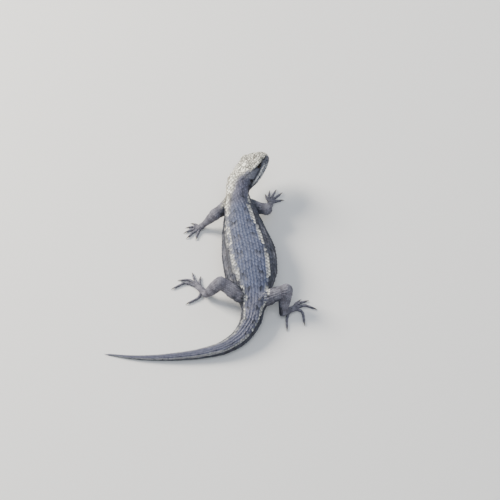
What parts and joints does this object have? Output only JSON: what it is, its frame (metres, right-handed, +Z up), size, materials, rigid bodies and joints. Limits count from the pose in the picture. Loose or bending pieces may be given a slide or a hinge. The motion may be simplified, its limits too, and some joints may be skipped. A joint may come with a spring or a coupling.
{
  "type": "prairie lizard",
  "caption": "Still life-size prairie lizard resting on its belly, head turned and tilted to its right, tail swept round to its left.",
  "frame": {"origin": "middle of the bounding box, on the floor under the animal", "axes": "+Z up from the floor, +Y along the trunk towards the head, +X to the animal's right"},
  "size_m": [0.0819, 0.086, 0.0182],
  "materials": {
    "crown_hide": "matt horny scales, pale",
    "back_hide": "matt keeled scales, grey",
    "limb_hide": "matt keeled scales, brown-grey",
    "eye": "wet gloss"
  },
  "bodies": {
    "root": {"head": "crown_hide", "neck": "back_hide", "torso": "back_hide", "tail_base": "back_hide", "tail_middle": "back_hide", "tail_tip": "back_hide", "eye_left": "eye", "eye_right": "eye", "upper_arm_left": "limb_hide", "upper_arm_right": "limb_hide", "forearm_left": "limb_hide", "forearm_right": "limb_hide", "hand_left": "limb_hide", "hand_right": "limb_hide", "thigh_left": "limb_hide", "thigh_right": "limb_hide", "shin_left": "limb_hide", "shin_right": "limb_hide", "foot_left": "limb_hide", "foot_right": "limb_hide"}
  },
  "joints": []
}
